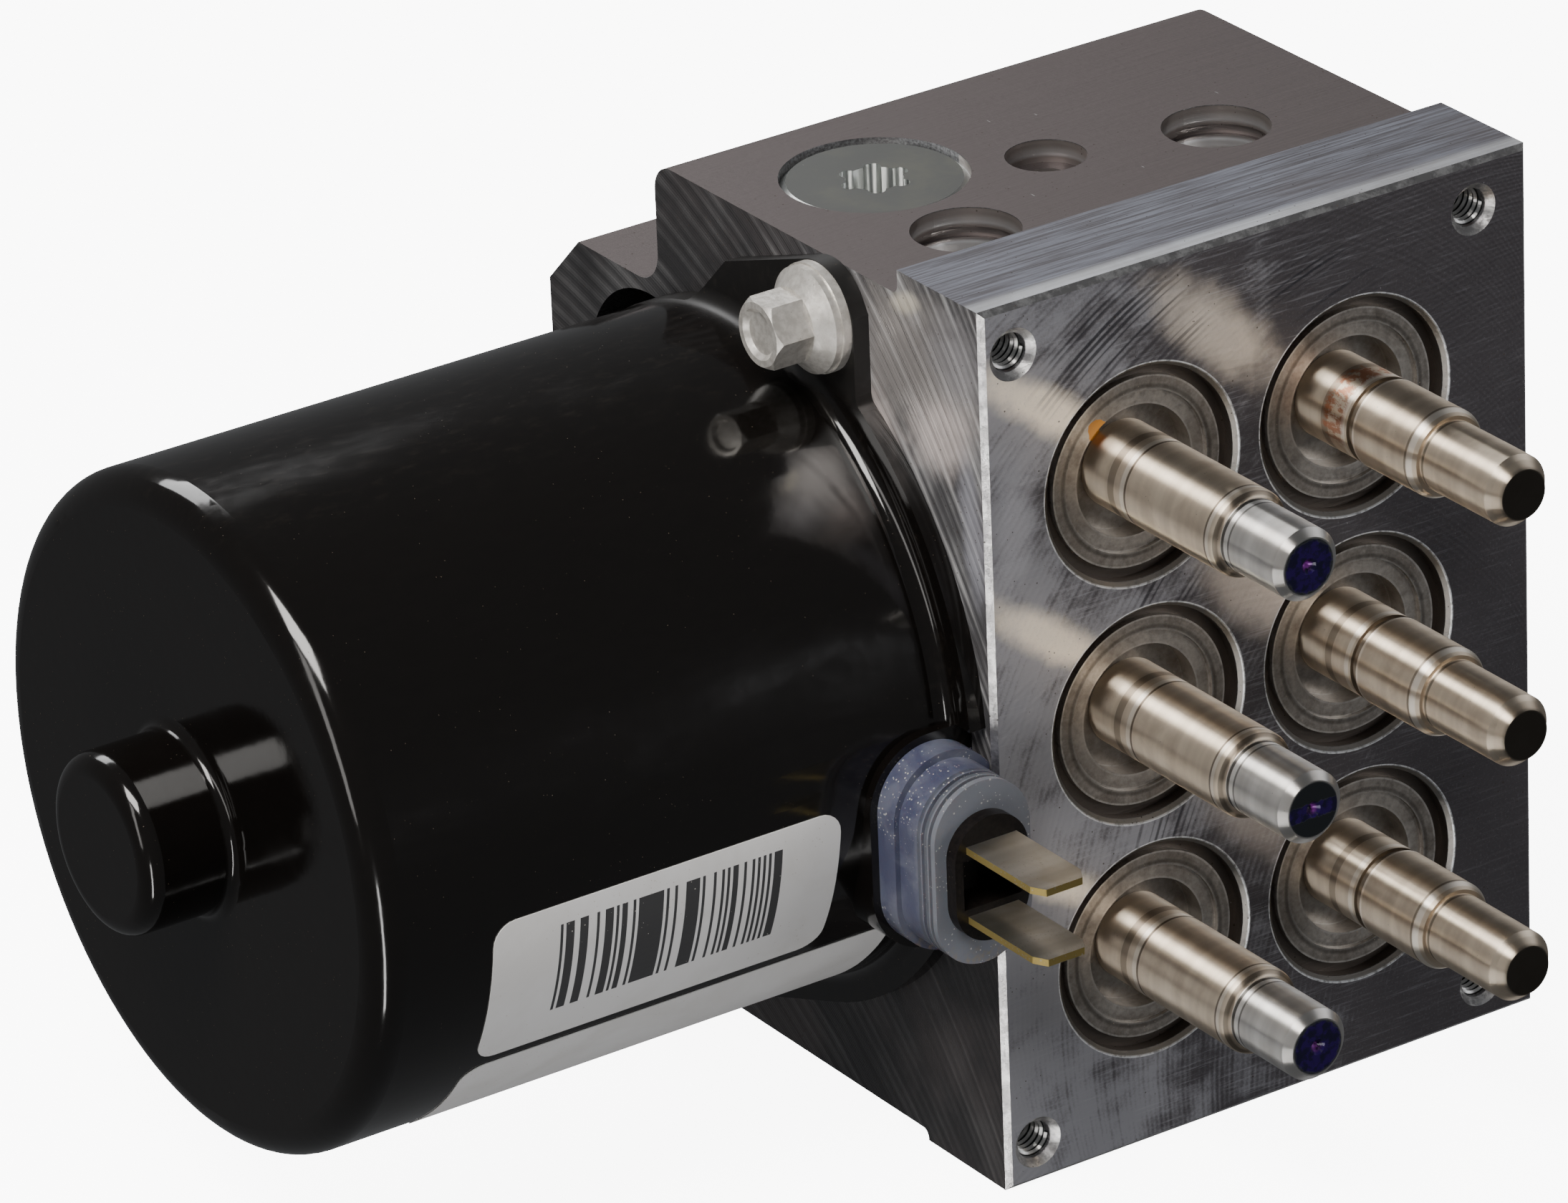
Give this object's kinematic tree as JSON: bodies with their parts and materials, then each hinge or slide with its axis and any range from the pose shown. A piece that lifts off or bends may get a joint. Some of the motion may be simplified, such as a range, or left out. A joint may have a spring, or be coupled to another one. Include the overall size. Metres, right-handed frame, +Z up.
{
  "type": "hydraulic brake module",
  "caption": "Hydraulic brake pressure module: machined aluminium valve block with round valve stems on its front and a cylindrical black pump motor on its side.",
  "frame": {"origin": "centre of the screw and valve pattern on the valve face", "axes": "+X along the motor axis, away from the motor; -Y out of the valve face, along the valve stems; +Z up, towards the face with the pipe ports"},
  "size_m": [0.1527, 0.1113, 0.101],
  "materials": {
    "block": "milled and turned",
    "can": "gloss black",
    "zinc": "zinc plated",
    "valve_steel": "turned, lightly tarnished",
    "core_steel": "ground bright",
    "shaft_steel": "ground",
    "laminations": "varnished sheet stack",
    "copper": "enamelled wire",
    "bronze": "sintered",
    "carbon": "matte",
    "magnet": "matte",
    "card": "matte",
    "grommet": "translucent, dusty",
    "insert": "satin black",
    "blade": "tin plated",
    "seal": "matte",
    "spring": "drawn wire",
    "cage": "satin"
  },
  "bodies": {
    "module": {"valve_block": "block", "motor_can": "can", "motor_end_plate": "zinc", "motor_bolts": "zinc", "motor_bolt_washers": "zinc", "motor_seal": "seal", "field_magnets": "magnet", "brush_card": "card", "carbon_brushes": "carbon", "brush_springs": "spring", "rear_bush": "bronze", "front_bearing_outer_ring": "shaft_steel", "terminal_grommet": "grommet", "terminal_insert": "insert", "terminal_blades": "blade", "pump_plugs": "zinc", "pump_spring_top": "spring", "pump_spring_bottom": "spring", "accumulator_covers": "zinc", "accumulator_spring_upper": "spring", "accumulator_spring_lower": "spring", "outlet_valve_upper_body": "valve_steel", "outlet_valve_upper_sleeve": "valve_steel", "outlet_valve_upper_core": "core_steel", "outlet_valve_upper_spring": "spring", "inlet_valve_upper_body": "valve_steel", "inlet_valve_upper_shell": "valve_steel", "inlet_valve_upper_spring": "spring", "outlet_valve_middle_body": "valve_steel", "outlet_valve_middle_sleeve": "valve_steel", "outlet_valve_middle_core": "core_steel", "outlet_valve_middle_spring": "spring", "inlet_valve_middle_body": "valve_steel", "inlet_valve_middle_shell": "valve_steel", "inlet_valve_middle_spring": "spring", "outlet_valve_lower_body": "valve_steel", "outlet_valve_lower_sleeve": "valve_steel", "outlet_valve_lower_core": "core_steel", "outlet_valve_lower_spring": "spring", "inlet_valve_lower_body": "valve_steel", "inlet_valve_lower_shell": "valve_steel", "inlet_valve_lower_spring": "spring"},
    "rotor": {"motor_shaft": "shaft_steel", "eccentric_bearing": "shaft_steel", "rotor_core": "laminations", "rotor_windings": "copper", "commutator": "copper", "front_bearing_inner_ring": "shaft_steel"},
    "ball_cage": {"front_bearing_cage": "cage", "front_bearing_balls": "shaft_steel"},
    "pump_piston_top": {"pump_piston_top": "shaft_steel"},
    "pump_piston_bottom": {"pump_piston_bottom": "shaft_steel"},
    "accumulator_piston_upper": {"accumulator_piston_upper": "zinc"},
    "accumulator_piston_lower": {"accumulator_piston_lower": "zinc"},
    "outlet_armature_upper": {"outlet_valve_upper_armature": "core_steel"},
    "inlet_armature_upper": {"inlet_valve_upper_armature": "core_steel"},
    "outlet_armature_middle": {"outlet_valve_middle_armature": "core_steel"},
    "inlet_armature_middle": {"inlet_valve_middle_armature": "core_steel"},
    "outlet_armature_lower": {"outlet_valve_lower_armature": "core_steel"},
    "inlet_armature_lower": {"inlet_valve_lower_armature": "core_steel"}
  },
  "joints": [
    {"name": "rotor_spin", "type": "hinge", "parent": "module", "child": "rotor", "pos_m": [-0.0334, 0.042, 0], "axis": [1, 0, 0], "continuous": true},
    {"name": "ball_cage_spin", "type": "hinge", "parent": "module", "child": "ball_cage", "pos_m": [-0.0334, 0.042, 0], "axis": [1, 0, 0], "continuous": true},
    {"name": "pump_piston_top_slide", "type": "slide", "parent": "module", "child": "pump_piston_top", "axis": [0, 0, 1], "range_m": [-0.0008, 0.0008], "stiffness_N_per_m": 1200, "deforming": ["pump_spring_top"]},
    {"name": "pump_piston_bottom_slide", "type": "slide", "parent": "module", "child": "pump_piston_bottom", "axis": [0, 0, 1], "range_m": [-0.0008, 0.0008], "deforming": ["pump_spring_bottom"]},
    {"name": "accumulator_upper_slide", "type": "slide", "parent": "module", "child": "accumulator_piston_upper", "axis": [0, 1, 0], "range_m": [0, 0.0165], "stiffness_N_per_m": 400, "springref_m": -0.02, "deforming": ["accumulator_spring_upper"]},
    {"name": "accumulator_lower_slide", "type": "slide", "parent": "module", "child": "accumulator_piston_lower", "axis": [0, 1, 0], "range_m": [0, 0.0165], "stiffness_N_per_m": 400, "springref_m": -0.02, "deforming": ["accumulator_spring_lower"]},
    {"name": "outlet_armature_upper_slide", "type": "slide", "parent": "module", "child": "outlet_armature_upper", "axis": [0, -1, 0], "range_m": [0, 0.0004], "stiffness_N_per_m": 500, "springref_m": -0.01, "deforming": ["outlet_valve_upper_spring"]},
    {"name": "inlet_armature_upper_slide", "type": "slide", "parent": "module", "child": "inlet_armature_upper", "axis": [0, 1, 0], "range_m": [0, 0.0004], "stiffness_N_per_m": 500, "springref_m": -0.01, "deforming": ["inlet_valve_upper_spring"]},
    {"name": "outlet_armature_middle_slide", "type": "slide", "parent": "module", "child": "outlet_armature_middle", "axis": [0, -1, 0], "range_m": [0, 0.0004], "stiffness_N_per_m": 500, "springref_m": -0.01, "deforming": ["outlet_valve_middle_spring"]},
    {"name": "inlet_armature_middle_slide", "type": "slide", "parent": "module", "child": "inlet_armature_middle", "axis": [0, 1, 0], "range_m": [0, 0.0004], "stiffness_N_per_m": 500, "springref_m": -0.01, "deforming": ["inlet_valve_middle_spring"]},
    {"name": "outlet_armature_lower_slide", "type": "slide", "parent": "module", "child": "outlet_armature_lower", "axis": [0, -1, 0], "range_m": [0, 0.0004], "stiffness_N_per_m": 500, "springref_m": -0.01, "deforming": ["outlet_valve_lower_spring"]},
    {"name": "inlet_armature_lower_slide", "type": "slide", "parent": "module", "child": "inlet_armature_lower", "axis": [0, 1, 0], "range_m": [0, 0.0004], "stiffness_N_per_m": 500, "springref_m": -0.01, "deforming": ["inlet_valve_lower_spring"]}
  ],
  "couplings": [
    {"joint": "ball_cage_spin", "follows": "rotor_spin", "ratio": 0.38},
    {"joint": "pump_piston_bottom_slide", "follows": "pump_piston_top_slide", "ratio": 1}
  ]
}
